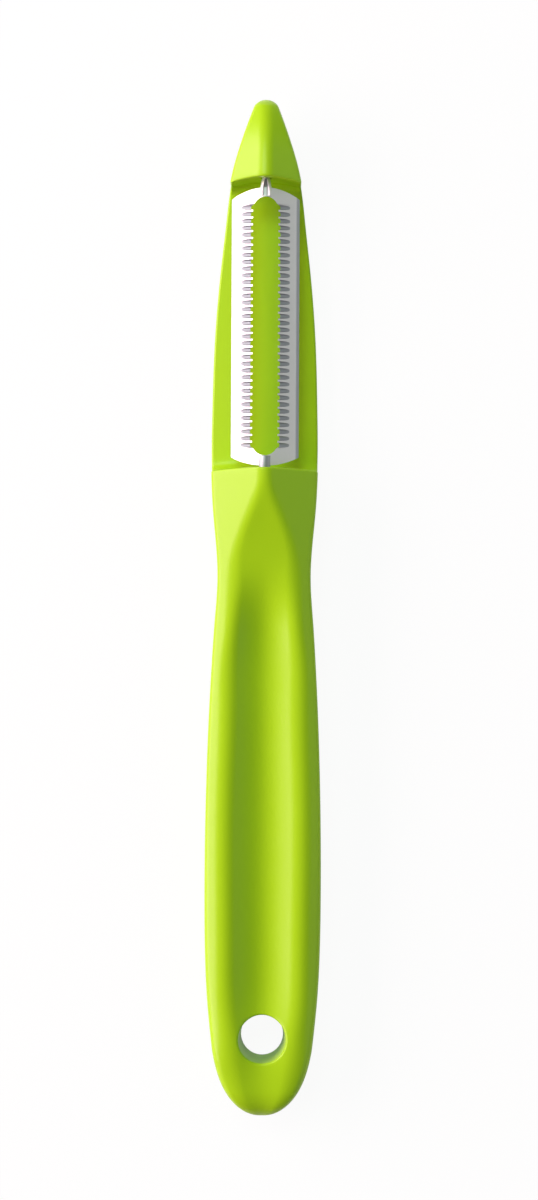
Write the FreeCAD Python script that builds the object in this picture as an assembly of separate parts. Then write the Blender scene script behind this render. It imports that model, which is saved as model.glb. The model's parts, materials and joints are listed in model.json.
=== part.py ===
import FreeCAD, Part
import math
import os

V = FreeCAD.Vector

# A swivel vegetable peeler in millimetres and degrees, lying on its back with the blade up.
# +Y points to the tip of the nose, +X to the right and +Z up. The origin is at mid-length,
# on the plane that the peeler lies on.

# The blade is one strip of steel: a roof with a slot along its ridge and a rolled pin at each end.
blade_length = 46.2
blade_width = 11.3
sheet = 0.6
flank_angle = 25
flange_width = 0.6
flange_angle = 55
bend_radius = 0.45
front_end_bulge = 1.75
rear_end_bulge = 1.45
slot_width = 4.24
slot_from_front = 1.5
slot_from_rear = 1.7
bevel_angle = 30
edge_land = 0.06
flute_pitch = 1.13
flute_margin = 1.7
flute_width = 0.8
flute_depth = 0.25
flute_length = 1.45
pin_radius = 0.95
pin_hollow_radius = 0.38
pin_reach = 3.6
pin_below_ridge = 0.45
seam_width = 0.22
open_seam_width = 1.1

# How the blade sits and swings between nose and neck.
swing_angle = 40
swing_clearance = 0.35
pin_clearance = 0.06
pin_end_clearance = 0.4
nose_gap = 1.9
neck_gap = 0.35

# The handle is one moulding: nose, bow, neck and grip.
nose_length = 13.3
neck_length = 18.7
grip_length = 89.7
tip_width = 3.0
nose_width = 11.6
head_width = 17.9
waist_pinch = 2.34
grip_swell = 1.55
end_taper = 3.35
tip_round = 1.45
end_round = 12.0
end_lip_round = 4.5
bow_thickness = 3.0
bow_arch = 0.45
bow_crown = 0.8
cover_over_pin = 3.0
tip_ridge_height = 7.6
tip_base_height = 3.4
grip_ridge_height = 12.2
end_ridge_height = 11.4
gable_angle = 27
ridge_half_band = 1.35
groove_drop = 5.27
groove_flank_angle = 28.8
groove_round = 2.6
groove_rim_blend = 1.9
back_groove_depth = 1.3
back_bow_crown = 0.6
nose_base_lift = 0.9
neck_base_lift = 1.1
end_base_lift = 0.7
head_edge_radius = 0.85
grip_edge_radius = 1.1
end_edge_radius = 1.8
nose_back_radius = 1.1
bow_back_radius = 1.5
grip_back_radius = 3.0
nose_face_hollow = 1.0
neck_face_bulge = 0.5
recess_radius = 1.0
hole_radius = 3.55
hole_from_end = 13.1
overrun = 4.0
touch = 0.001
full_turn = 360

# Shares of each stretch's length, counted from its front end, and of the step in width along it.
nose_width_shares = [(0.5, 0.56)]
bow_width_shares = [(0.14, 0.28), (0.28, 0.52), (0.55, 0.86), (0.8, 0.975), (0.93, 1.0)]
neck_width_shares = [(0.0, 0.96), (0.37, 0.69), (0.73, 0.165)]
grip_width_shares = [(0.075, 0.22), (0.15, 0.45), (0.225, 0.635), (0.37, 0.88), (0.6, 1.0)]
end_width_shares = [(0.71, 0.9), (0.785, 0.68), (0.86, 0.28), (0.9, 0.08), (0.94, 0.02), (1.0, 0.0)]
# The same for the thumb groove: its drop below the ridge line, the slope of its flanks and its soft rims.
neck_drop_shares = [(0.0, -0.17), (0.16, -0.02), (0.37, 0.157), (0.55, 0.29), (0.82, 0.43), (1.0, 0.515)]
grip_drop_shares = [(0.067, 0.755), (0.225, 0.92), (0.4, 1.0), (0.6, 1.0), (0.71, 0.985), (0.79, 0.925)]
end_drop_shares = [(0.86, 0.76), (0.93, 0.66), (1.0, 0.63)]
neck_flank_shares = [(0.0, 0.06), (0.5, 0.06), (0.82, 0.07), (1.0, 0.3)]
grip_flank_shares = [(0.04, 0.7), (0.08, 1.0), (0.15, 1.0), (0.25, 1.0), (0.4, 1.0), (0.6, 1.0), (0.79, 0.95)]
end_flank_shares = [(0.86, 0.75), (0.9, 0.5), (0.93, 0.3), (1.0, 0.2)]
neck_rim_shares = [(0.0, 0.3), (0.5, 0.3), (0.82, 0.38), (1.0, 0.55)]
grip_rim_shares = [(0.08, 0.8), (0.225, 1.0), (0.4, 1.0), (0.6, 1.0), (0.8, 1.0), (1.0, 1.0)]
# The same for the lift of the back along the grip, and for the depth of the back's groove.
bow_lift_shares = [(0.25, 0.15), (0.5, 0.0), (0.78, 0.08)]
grip_lift_shares = [(0.22, 0.35), (0.5, 0.0), (0.65, 0.0)]
back_groove_shares = [(0.1, 0.35), (0.25, 0.9), (0.4, 1.0), (0.6, 1.0), (0.78, 0.8), (0.88, 0.3), (1.0, 0.1)]
groove_half_share = 0.68
flute_floor_share = 0.5
ridge_line_share = 0.72
parting_share = 0.5
# Where the skin's sections stand: angles round the two ends, and shares of each stretch between them.
tip_station_angles = [22, 45, 68, 90]
nose_station_shares = [0.72, 0.5, 0.25]
bow_station_shares = [0.0, 0.15, 0.35, 0.6, 0.82, 0.97]
neck_station_shares = [0.1, 0.25, 0.4, 0.55, 0.7, 0.85]
grip_station_shares = [0.0, 0.06, 0.13, 0.21, 0.31, 0.42, 0.54, 0.66, 0.73, 0.79, 0.835]
end_station_angles = [90, 75, 60, 45, 30, 15]
wall_steps = 2
arc_steps = 6
front_steps = 20
back_steps = 8
strip_steps = 2

# Places along Y and Z that follow from the sizes above.
window_length = nose_gap + blade_length + neck_gap
overall_length = nose_length + window_length + neck_length + grip_length
y_tip = overall_length / 2
y_nose = y_tip - nose_length
y_blade_front = y_nose - nose_gap
y_blade_rear = y_blade_front - blade_length
y_neck = y_blade_rear - neck_gap
y_waist = y_neck - neck_length
y_end = -overall_length / 2
y_hole = y_end + hole_from_end
y_window_middle = (y_nose + y_neck) / 2
y_slot_front = y_blade_front - slot_from_front
y_slot_rear = y_blade_rear + slot_from_rear


def slope(angle):
    return math.tan(math.radians(angle))


def turned(point, angle):
    """The point (across, up) turned about the pin axis, right side down."""
    c = math.cos(math.radians(angle))
    s = math.sin(math.radians(angle))
    return point[0] * c + point[1] * s, point[1] * c - point[0] * s


def normal(angle):
    """The outward normal (across, up) of a flank that falls to the right at this angle."""
    return math.sin(math.radians(angle)), math.cos(math.radians(angle))


def blade_corners():
    """Right half of the blade's section, from the pin axis: outer ridge, bend and edge, then inner ones."""
    across = blade_width / 2
    bend = (across - flange_width, pin_below_ridge - (across - flange_width) * slope(flank_angle))
    edge = (across, bend[1] - flange_width * slope(flange_angle))
    flank = normal(flank_angle)
    flange = normal(flange_angle)
    mitre = sheet / (1 + flank[0] * flange[0] + flank[1] * flange[1])
    inner_ridge = (0, pin_below_ridge - sheet / flank[1])
    inner_bend = (bend[0] - mitre * (flank[0] + flange[0]), bend[1] - mitre * (flank[1] + flange[1]))
    inner_edge = (edge[0] - sheet * flange[0], edge[1] - sheet * flange[1])
    return (0, pin_below_ridge), bend, edge, inner_ridge, inner_bend, inner_edge


def swing_reach():
    """How far the blade's lowest corner reaches below the pin axis at the end of its swing."""
    corners = blade_corners()
    return -min(turned(corner, swing_angle)[1] for corner in corners)


bow_top = bow_thickness
pivot_height = bow_top + bow_arch + swing_clearance + swing_reach()
ridge_height = pivot_height + cover_over_pin


def through(points, places):
    """A smooth curve through points, which it passes at these places along its own length."""
    curve = Part.BSplineCurve()
    curve.interpolate(Points=points, Parameters=places)
    return curve


def rail(points):
    """A smooth line through (place along Y, value) points, as a function of the place."""
    ordered = sorted(points)
    curve = through([V(y, value, 0) for y, value in ordered], [y for y, value in ordered])
    return lambda y: curve.value(y).y


def along(front, rear, shares, start, step):
    """Rail points on one stretch: each share of its length has the start value plus a share of the step."""
    return [(front + (rear - front) * place, start + step * part) for place, part in shares]


def half_width_rail():
    tip, nose, head = tip_width / 2, nose_width / 2, head_width / 2
    waist = head - waist_pinch / 2
    grip = head + grip_swell / 2
    end = grip - end_taper / 2
    points = [(y_tip, tip), (y_nose, nose), (y_waist, waist)]
    points += along(y_tip, y_nose, nose_width_shares, tip, nose - tip)
    points += along(y_nose, y_neck, bow_width_shares, nose, head - nose)
    points += along(y_neck, y_waist, neck_width_shares, waist, head - waist)
    points += along(y_waist, y_end, grip_width_shares, waist, grip - waist)
    points += along(y_waist, y_end, end_width_shares, end, grip - end)
    return rail(points)


def ridge_rail():
    y_half_nose = (y_tip + y_nose) / 2
    half_nose = tip_ridge_height + (ridge_height - tip_ridge_height) * ridge_line_share
    y_grip = (y_waist + y_end) / 2
    return rail([(y_tip, tip_ridge_height), (y_half_nose, half_nose), (y_nose, ridge_height),
                 (y_window_middle, ridge_height), (y_neck, ridge_height),
                 (y_waist, grip_ridge_height), (y_grip, grip_ridge_height), (y_end, end_ridge_height)])


def groove_rail(neck_shares, grip_shares, full):
    """How a size of the thumb groove changes along the handle, from shares of its full value."""
    points = [(y_tip, neck_shares[0][1] * full), (y_nose, neck_shares[0][1] * full)]
    points += along(y_neck, y_waist, neck_shares, 0, full)
    points += along(y_waist, y_end, grip_shares, 0, full)
    return rail(points)


def base_rail():
    points = [(y_tip, tip_base_height), (y_nose, nose_base_lift), (y_neck, neck_base_lift / 2)]
    points += along(y_nose, y_neck, bow_lift_shares, 0, nose_base_lift)
    points += [(y_waist, neck_base_lift), (y_end, end_base_lift)]
    points += along(y_waist, y_end, grip_lift_shares, 0, neck_base_lift)
    return rail(points)


def back_groove_rail():
    points = [(y_tip, 0), (y_nose, 0), (y_neck, 0), (y_waist, 0)]
    points += along(y_waist, y_end, back_groove_shares, 0, back_groove_depth)
    return rail(points)


def stepped_rail(tip, head, grip, end):
    y_grip = (y_waist + y_end) / 2
    return rail([(y_tip, tip), (y_nose, head), (y_neck, head),
                 (y_waist, (head + grip) / 2), (y_grip, grip), (y_end, end)])


half_width = half_width_rail()
ridge = ridge_rail()
groove = groove_rail(neck_drop_shares, grip_drop_shares + end_drop_shares, groove_drop)
groove_flank = groove_rail(neck_flank_shares, grip_flank_shares + end_flank_shares, slope(groove_flank_angle))
rim_blend = groove_rail(neck_rim_shares, grip_rim_shares, groove_rim_blend)
base = base_rail()
back_groove = back_groove_rail()
back_crown = stepped_rail(0, back_bow_crown, 0, 0)
front_edge = stepped_rail(head_edge_radius, head_edge_radius, grip_edge_radius, end_edge_radius)
back_edge = stepped_rail(nose_back_radius, bow_back_radius, grip_back_radius, grip_back_radius)


def front_height(x, y):
    """Height of the front: a gable with a rounded ridge, hollowed by the groove with rounded rims."""
    across = abs(x)
    if across < ridge_half_band:
        across = (x * x / ridge_half_band + ridge_half_band) / 2
    gable = ridge(y) - slope(gable_angle) * (across - ridge_half_band / 2)
    hollow = ridge(y) - groove(y) + groove_flank(y) * (math.hypot(x, groove_round) - groove_round)
    near = max(0, rim_blend(y) - abs(gable - hollow))
    return min(gable, hollow) - near * near / (4 * rim_blend(y))


def back_height(x, y):
    """Height of the back: crowned behind the blade, with a shallow groove along the grip."""
    inside = max(0, 1 - (x / (groove_half_share * half_width(y))) ** 2)
    return base(y) + back_crown(y) * (x / half_width(y)) ** 2 + back_groove(y) * inside * inside


def flank_line(height, y, radius, side, steps):
    """Points (x, z) of the front (side 1) or back (side -1), from the right parting line to the left one."""
    edge = half_width(y)
    probe = radius / 2
    fall = side * (height(edge - probe - probe, y) - height(edge - probe, y)) / probe
    tilt = math.atan(fall)
    last = edge - radius + radius * math.sin(tilt)
    centre = height(last, y) - side * radius * math.cos(tilt)
    arc = []
    for i in range(arc_steps):
        turn = (math.pi / 2 - tilt) * i / arc_steps
        arc.append((edge - radius + radius * math.cos(turn), centre + side * radius * math.sin(turn)))
    row = [last * (1 - 2 * i / steps) for i in range(steps + 1)]
    return arc + [(x, height(x, y)) for x in row] + [(-x, z) for x, z in reversed(arc)]


def cap(distance, length):
    """Share of the full size at this distance from an end that is rounded over this length."""
    if distance >= length:
        return 1
    return math.sqrt(max(0, 1 - (1 - distance / length) ** 2))


def section(y):
    """Front and back points of the handle's skin at one station."""
    front = flank_line(front_height, y, front_edge(y), 1, front_steps)
    back = flank_line(back_height, y, back_edge(y), -1, back_steps)
    parting = back[0][1] + (front[0][1] - back[0][1]) * parting_share
    narrow = cap(y_tip - y, tip_round) * cap(y - y_end, end_round)
    low = cap(y_tip - y, tip_round) * cap(y - y_end, end_lip_round)
    edge = half_width(y)
    lines = []
    for line in (front, back):
        wall = [(edge, parting + (line[0][1] - parting) * i / wall_steps) for i in range(wall_steps)]
        whole = wall + line + [(-x, z) for x, z in reversed(wall)]
        lines.append([V(x * narrow, y, parting + (z - parting) * low) for x, z in whole])
    return lines


def stations():
    """Places along Y of the skin's sections, from the tip to the end."""
    places = [y_tip]
    places += [y_tip - tip_round * (1 - math.cos(math.radians(a))) for a in tip_station_angles]
    places += [y_nose + nose_length * share for share in nose_station_shares]
    places += [y_nose - window_length * share for share in bow_station_shares]
    places += [y_neck - neck_length * share for share in neck_station_shares]
    places += [y_waist - grip_length * share for share in grip_station_shares]
    places += [y_end + end_round * (1 - math.cos(math.radians(a))) for a in end_station_angles]
    return places + [y_end]


def mean_steps(rows):
    """Knot places for lines of points with as many points each, from their mean share of length."""
    count = len(rows[0])
    places = [0] * count
    for row in rows:
        lengths = [0]
        for a, b in zip(row, row[1:]):
            lengths.append(lengths[-1] + a.distanceToPoint(b))
        if lengths[-1] > 0:
            places = [place + length / lengths[-1] for place, length in zip(places, lengths)]
    return [place / places[-1] for place in places]


def skin_strips(rows, lengthwise):
    """One smooth surface through rows of points, each row a section, as strips that run from tip to end.

    The first and last rows shrink to a point.
    """
    across = mean_steps(rows)
    lines = [through(row, across) for row in rows[1:-1]]
    count = lines[0].NbPoles
    nets = [[rows[0][0]] * count] + [line.getPoles() for line in lines] + [[rows[-1][0]] * count]
    columns = [through(list(column), lengthwise) for column in zip(*nets)]
    surface = Part.BSplineSurface()
    surface.buildFromPolesMultsKnots(
        [column.getPoles() for column in columns],
        lines[0].getMultiplicities(), columns[0].getMultiplicities(),
        lines[0].getKnots(), columns[0].getKnots(),
        False, False, lines[0].Degree, columns[0].Degree)
    borders = across[:-1:strip_steps] + across[-1:]
    strips = []
    for start, end in zip(borders, borders[1:]):
        strip = surface.copy()
        strip.segment(start, end, lengthwise[0], lengthwise[-1])
        strips.append(strip.toShape())
    return strips


def skin():
    """The handle's outer form, whole, before the blade's window and the holes are cut."""
    sections = [section(y) for y in stations()]
    lengthwise = mean_steps(list(zip(*[front + back for front, back in sections])))
    faces = [face for i in (0, 1) for face in skin_strips([part[i] for part in sections], lengthwise)]
    sewn = Part.Compound(faces)
    sewn.sewShape()
    solid = Part.Solid(sewn.Shells[0])
    if solid.Volume < 0:
        solid.reverse()
    return solid


def arc_over(half, y, bulge, z):
    """An arc across X that stands out by the bulge towards +Y in its middle."""
    return Part.Arc(V(-half, y - bulge, z), V(0, y, z), V(half, y - bulge, z)).toShape()


def arc_radius(half, bulge):
    return (half * half + bulge * bulge) / (2 * bulge)


def bulge_at(half, own_half, own_bulge):
    """How far an arc of known half width and bulge has fallen away at another half width."""
    radius = arc_radius(own_half, own_bulge)
    return radius - math.sqrt(radius * radius - half * half)


def window():
    """What is cut away above the bow: crowned across, arched lengthwise, rounded into nose and neck."""
    half = head_width / 2 + overrun
    top = ridge_height + overrun
    drop = bulge_at(half, head_width / 2, bow_crown)
    crown = Part.Arc(V(-half, y_window_middle, bow_top - drop), V(0, y_window_middle, bow_top),
                     V(half, y_window_middle, bow_top - drop)).toShape()
    sides = Part.makePolygon([V(half, y_window_middle, bow_top - drop), V(half, y_window_middle, top),
                              V(-half, y_window_middle, top), V(-half, y_window_middle, bow_top - drop)])
    profile = Part.Face(Part.Wire([crown] + sides.Edges))
    axis_height = bow_top + arc_radius(window_length / 2, bow_arch)
    sweep = 2 * math.degrees(math.atan((window_length / 2 + overrun) / (axis_height - top)))
    profile.rotate(V(0, y_window_middle, axis_height), V(1, 0, 0), -sweep / 2)
    above_bow = profile.revolve(V(0, y_window_middle, axis_height), V(1, 0, 0), sweep)
    nose_fall = bulge_at(half, nose_width / 2, nose_face_hollow)
    neck_fall = bulge_at(half, head_width / 2, neck_face_bulge)
    nose_edge = arc_over(half, y_nose, nose_fall, -overrun)
    neck_edge = arc_over(half, y_neck, neck_fall, -overrun)
    right = Part.makeLine(V(half, y_nose - nose_fall, -overrun), V(half, y_neck - neck_fall, -overrun))
    left = Part.makeLine(V(-half, y_neck - neck_fall, -overrun), V(-half, y_nose - nose_fall, -overrun))
    plan = Part.Face(Part.Wire([nose_edge, right, neck_edge, left]))
    tool = plan.extrude(V(0, 0, top + overrun)).common(above_bow)
    feet = [e for e in tool.Edges if e.BoundBox.XLength > head_width and e.BoundBox.ZMax < pivot_height]
    return tool.makeFillet(recess_radius, feet)


def pin_bore(y_from, y_to):
    """A round cutter on the pin axis between two places along Y."""
    start = V(0, min(y_from, y_to), pivot_height)
    return Part.makeCylinder(pin_radius + pin_clearance, abs(y_to - y_from), start, V(0, 1, 0))


def handle():
    """Nose, bow, neck and grip in one moulding, with the pins' blind holes and the hanging hole."""
    body = skin().cut(window())
    depth = pin_reach + pin_end_clearance
    body = body.cut(pin_bore(y_blade_front, y_nose + depth))
    body = body.cut(pin_bore(y_blade_rear, y_neck - depth))
    through_hole = Part.makeCylinder(hole_radius, ridge_height + 2 * overrun, V(0, y_hole, -overrun))
    return body.cut(through_hole)


def at_pivot(point, y):
    """A point (across, up) of the blade's section, set at a place along Y."""
    return V(point[0], y, pivot_height + point[1])


def bent_sheet():
    """The blade's strip: two flanks that meet in a ridge, with turned-down outer edges and round bends."""
    right = blade_corners()
    outer_ridge, outer_bend, outer_edge, inner_ridge, inner_bend, inner_edge = right
    half = [outer_ridge, outer_bend, outer_edge, inner_edge, inner_bend, inner_ridge]
    ring = half + [(-x, z) for x, z in reversed(half[1:-1])] + [outer_ridge]
    profile = Part.Face(Part.makePolygon([at_pivot(point, y_blade_rear) for point in ring]))
    strip = profile.extrude(V(0, blade_length, 0))
    outer = ((outer_ridge, outer_bend), bend_radius + sheet)
    inner = ((inner_ridge, inner_bend), bend_radius)
    for corners, radius in (outer, inner):
        places = [at_pivot((side * x, z), y_blade_rear) for x, z in corners for side in (1, -1)]
        bends = [e for e in strip.Edges if any(e.Vertexes[0].Point.distanceToPoint(p) < touch for p in places)
                 and e.BoundBox.YLength > blade_length / 2]
        strip = strip.makeFillet(radius, bends)
    return strip.common(blade_plan())


def blade_plan():
    """A block over the blade's outline in plan, with its two rounded ends."""
    half = blade_width / 2
    y_front = y_blade_front - front_end_bulge
    y_rear = y_blade_rear + rear_end_bulge
    front = arc_over(half, y_blade_front, front_end_bulge, 0)
    rear = arc_over(half, y_blade_rear, -rear_end_bulge, 0)
    right = Part.makeLine(V(half, y_front, 0), V(half, y_rear, 0))
    left = Part.makeLine(V(-half, y_rear, 0), V(-half, y_front, 0))
    return Part.Face(Part.Wire([front, right, rear, left])).extrude(V(0, 0, ridge_height))


def cutting_edge():
    """The right cutting edge (across, up): where the slot meets the outer side of the flank."""
    half = slot_width / 2
    return half, pin_below_ridge - half * slope(flank_angle)


def slot_cutter():
    """The slot, round at both ends. Below a narrow land its walls lean out, so both long edges are sharp."""
    edge = cutting_edge()
    run = 2 * sheet / math.sin(math.radians(bevel_angle))
    lean = math.radians(flank_angle + bevel_angle)
    low = (edge[0] + run * math.cos(lean), edge[1] - edge_land - run * math.sin(lean))
    top = edge[1] + overrun
    half = [(0, top), (edge[0], top), (edge[0], edge[1] - edge_land), low, (0, low[1])]
    y_rear = y_slot_rear + edge[0]
    y_front = y_slot_front - edge[0]
    ring = half + [(-x, z) for x, z in reversed(half[1:-1])] + half[:1]
    profile = Part.Face(Part.makePolygon([at_pivot(p, y_rear) for p in ring]))
    cutter = profile.extrude(V(0, y_front - y_rear, 0))
    for y in (y_rear, y_front):
        wedge = Part.Face(Part.makePolygon([at_pivot(p, y) for p in half + half[:1]]))
        cutter = cutter.fuse(wedge.revolve(V(0, y, 0), V(0, 0, 1), full_turn))
    return cutter


def flute(side, y):
    """One flat-bottomed cutter, sunk at the slot's edge, that rises along a flank to its surface."""
    edge = cutting_edge()
    out = normal(flank_angle)
    up = V(side * out[0], 0, out[1])
    run = V(side * out[1], 0, -out[0])
    inside = slot_width / 4
    reach = inside + flute_length
    depth = flute_depth * reach / flute_length
    start = at_pivot((side * edge[0], edge[1]), y) - run * inside
    floor = flute_width * flute_floor_share / 2
    mouth = flute_width - floor
    ring = [start + V(0, across, 0) + up * height
            for across, height in ((-mouth, depth), (-floor, -depth), (floor, -depth), (mouth, depth))]
    return Part.Face(Part.makePolygon(ring + ring[:1])).extrude(run * reach + up * depth)


def flutes():
    room = y_slot_front - y_slot_rear - 2 * flute_margin
    count = int(room / flute_pitch) + 1
    first = (y_slot_front + y_slot_rear - (count - 1) * flute_pitch) / 2
    return [flute(side, first + i * flute_pitch) for i in range(count) for side in (1, -1)]


def pins():
    """The two round pins, from inside the slot to their free ends in nose and neck."""
    inside = slot_width / 2
    front = (y_slot_front - inside, y_nose + pin_reach)
    rear = (y_neck - pin_reach, y_slot_rear + inside)
    return [Part.makeCylinder(pin_radius, end - start, V(0, start, pivot_height), V(0, 1, 0))
            for start, end in (front, rear)]


def pin_hollows():
    """The rolled pins' hollow and seam: open to the front beside the nose, closed and behind at the neck."""
    y_low = y_neck - pin_reach - overrun
    y_high = y_nose + pin_reach + overrun
    hollow = Part.makeCylinder(pin_hollow_radius, y_high - y_low, V(0, y_low, pivot_height), V(0, 1, 0))
    seam, mouth = seam_width / 2, open_seam_width / 2
    y_mouth = y_slot_front - slot_width / 2
    plan = [(-seam, y_high), (-seam, y_nose), (-mouth, y_slot_front), (-mouth, y_mouth)]
    ring = plan + [(-x, y) for x, y in reversed(plan)] + plan[:1]
    front = Part.Face(Part.makePolygon([V(x, y, pivot_height) for x, y in ring])).extrude(V(0, 0, overrun))
    rear = Part.makeBox(seam_width, y_slot_rear + slot_width / 2 - y_low, overrun,
                        V(-seam, y_low, pivot_height - overrun))
    return [hollow, front, rear]


def blade():
    """One strip of steel with its fluted slot and rolled pins."""
    strip = bent_sheet()
    for pin in pins():
        strip = strip.fuse(pin)
    strip = strip.cut(slot_cutter())
    for hollow in pin_hollows():
        strip = strip.cut(hollow)
    return strip.cut(flutes())


def main():
    os.makedirs("parts", exist_ok=True)
    for name, shape in (("handle", handle()), ("blade", blade())):
        shape.Solids[0].exportStep("parts/" + name + ".step")


main()
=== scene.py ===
import bisect
import functools
import json
import math

import bmesh
import bpy
import numpy as np
from bpy.props import FloatProperty, FloatVectorProperty, PointerProperty
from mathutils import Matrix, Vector


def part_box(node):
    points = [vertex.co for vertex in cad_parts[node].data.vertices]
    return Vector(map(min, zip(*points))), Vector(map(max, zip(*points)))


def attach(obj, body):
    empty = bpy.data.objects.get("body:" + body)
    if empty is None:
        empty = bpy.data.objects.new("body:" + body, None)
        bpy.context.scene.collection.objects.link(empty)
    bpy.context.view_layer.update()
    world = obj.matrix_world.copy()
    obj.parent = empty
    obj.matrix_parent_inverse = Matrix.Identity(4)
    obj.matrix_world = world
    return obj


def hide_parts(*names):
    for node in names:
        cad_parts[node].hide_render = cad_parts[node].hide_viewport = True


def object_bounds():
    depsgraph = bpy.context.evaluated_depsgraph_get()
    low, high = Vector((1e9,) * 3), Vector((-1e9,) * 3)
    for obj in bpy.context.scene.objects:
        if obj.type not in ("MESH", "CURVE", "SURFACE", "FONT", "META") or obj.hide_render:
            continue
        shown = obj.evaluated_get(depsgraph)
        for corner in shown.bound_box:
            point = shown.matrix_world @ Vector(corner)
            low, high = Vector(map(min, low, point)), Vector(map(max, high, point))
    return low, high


bl_info = {
    "name": "Swivel vegetable peeler",
    "version": (1, 0, 0),
    "blender": (4, 5, 0),
    "location": "3D View > Sidebar > Peeler",
    "description": "Moulded handle, ground steel blade and a plain studio for the packed peeler",
    "category": "Object",
}

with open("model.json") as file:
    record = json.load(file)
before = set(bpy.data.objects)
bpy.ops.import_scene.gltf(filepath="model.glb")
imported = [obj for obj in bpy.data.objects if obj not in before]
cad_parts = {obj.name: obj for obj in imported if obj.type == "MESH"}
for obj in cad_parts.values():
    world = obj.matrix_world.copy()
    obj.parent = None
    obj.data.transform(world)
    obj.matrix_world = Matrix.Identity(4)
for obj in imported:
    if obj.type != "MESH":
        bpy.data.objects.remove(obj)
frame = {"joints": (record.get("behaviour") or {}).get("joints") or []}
cad_low, cad_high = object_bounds()

# Both pieces are worked out in millimetres, in the frame's own axes, and scaled to metres at the end.
mm = 0.001
handle_low, handle_high = (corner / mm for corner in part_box("handle"))
pivot_height = frame["joints"][0]["pos_m"][2] / mm

# Stretches along the handle, from the tip of the nose to the end of the grip.
nose_length = 13.7
window_length = 48.05
neck_length = 18.7
y_tip = handle_high.y
y_end = handle_low.y
y_nose = y_tip - nose_length
y_neck = y_nose - window_length
y_waist = y_neck - neck_length
y_window_middle = (y_nose + y_neck) / 2
y_grip_middle = (y_waist + y_end) / 2

# Widths, heights, roundings and the thumb groove.
tip_width = 3.0
nose_width = 11.6
head_width = 17.9
waist_pinch = 2.34
grip_swell = 1.55
end_taper = 3.35
tip_round = 1.45
end_round = 12.0
end_lip_round = 4.5
gable_over_pivot = 3.0
ridge_height = pivot_height + gable_over_pivot
tip_ridge_height = 7.6
tip_base_height = 3.4
grip_ridge_height = 12.2
end_ridge_height = 11.4
gable_slope = math.tan(math.radians(27))
ridge_half_band = 1.35
groove_drop = 5.27
groove_flank_slope = 0.55
groove_round = 2.6
groove_rim_blend = 1.75
groove_half_share = 0.68
ridge_line_share = 0.72
back_groove_depth = 1.3
back_bow_crown = 0.6
nose_base_lift = 0.9
neck_base_lift = 1.1
end_base_lift = 0.7
head_edge_radius = 0.85
grip_edge_radius = 1.1
end_edge_radius = 1.8
nose_back_radius = 1.1
bow_back_radius = 1.5
grip_back_radius = 3.0

# The window behind the blade, the pins' bores and the hanging hole.
bow_thickness = 3.0
bow_arch = 0.45
bow_crown = 0.8
nose_face_hollow = 0.8
neck_face_bulge = 0.5
recess_radius = 1.7
bore_radius = 1.01
bore_depth = 4.0
bore_lip = 0.08
hole_radius = 3.55
hole_draft = 0.45
hole_from_end = 13.1
y_hole = y_end + hole_from_end

# The blade: a bent strip with a fluted slot, and a tab rolled into a pin at each end.
blade_half = 5.65
bend_half = 5.05
bend_radius = 1.05
sheet = 0.6
flank_angle = math.radians(25)
flange_angle = math.radians(40)
bend_tangent = bend_radius * math.tan((flange_angle - flank_angle) / 2)
bend_start = bend_half - bend_tangent * math.cos(flank_angle)
bend_end = bend_half + bend_tangent * math.cos(flange_angle)
ridge_over_pin = 0.45
blade_gap = 0.35
blade_length = 46.2
y_blade_rear = y_neck + blade_gap
y_blade_front = y_blade_rear + blade_length
front_end_bulge = 1.75
rear_end_bulge = 1.45
slot_half = 2.12
slot_front_margin = 1.5
slot_rear_margin = 1.7
y_slot_front = y_blade_front - slot_front_margin
y_slot_rear = y_blade_rear + slot_rear_margin
y_slot_middle = (y_slot_front + y_slot_rear) / 2
end_zone = 2.2
edge_land = 0.06
bevel_angle = math.radians(55)
bevel_fall = math.tan(bevel_angle) - math.tan(flank_angle)
flute_pitch = 1.13
flute_count = 36
flute_half = 0.40
flute_depth = 0.43
flute_length = 2.0
flute_setback = flute_depth / (bevel_fall + flute_depth / flute_length)
pin_radius = 0.95
pin_sheet = 0.33
pin_steps = 28
# Each pin's stations: place along Y, radius and half the width of its seam.
front_pin = [(y_slot_front + 0.12, pin_radius, 0.62), (y_slot_front + 0.8, pin_radius, 0.6),
             (y_blade_front, 0.92, 0.52), (y_blade_front + 0.6, 0.84, 0.4), (y_blade_front + 1.2, 0.72, 0.22),
             (y_nose - 0.1, 0.63, 0.06), (y_nose + 0.4, 0.6, 0.04), (y_nose + 3.5, 0.6, 0.04)]
rear_pin = [(y_slot_rear - 0.02, 0.7, 0.1), (y_slot_rear - 0.1, 0.86, 0.1), (y_slot_rear - 0.3, 0.94, 0.1),
            (y_blade_rear, pin_radius, 0.1), (y_neck - 3.5, pin_radius, 0.1)]

# Shares of each stretch's length, counted from its front end, and of the step in width along it.
nose_width_shares = [(0.5, 0.56)]
bow_width_shares = [(0.14, 0.28), (0.28, 0.52), (0.55, 0.86), (0.8, 0.975), (0.93, 1.0)]
neck_width_shares = [(0.0, 0.96), (0.37, 0.69), (0.73, 0.165)]
grip_width_shares = [(0.075, 0.22), (0.15, 0.45), (0.225, 0.635), (0.37, 0.88), (0.6, 1.0)]
end_width_shares = [(0.71, 0.9), (0.785, 0.68), (0.86, 0.28), (0.9, 0.08), (0.94, 0.02), (1.0, 0.0)]
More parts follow.
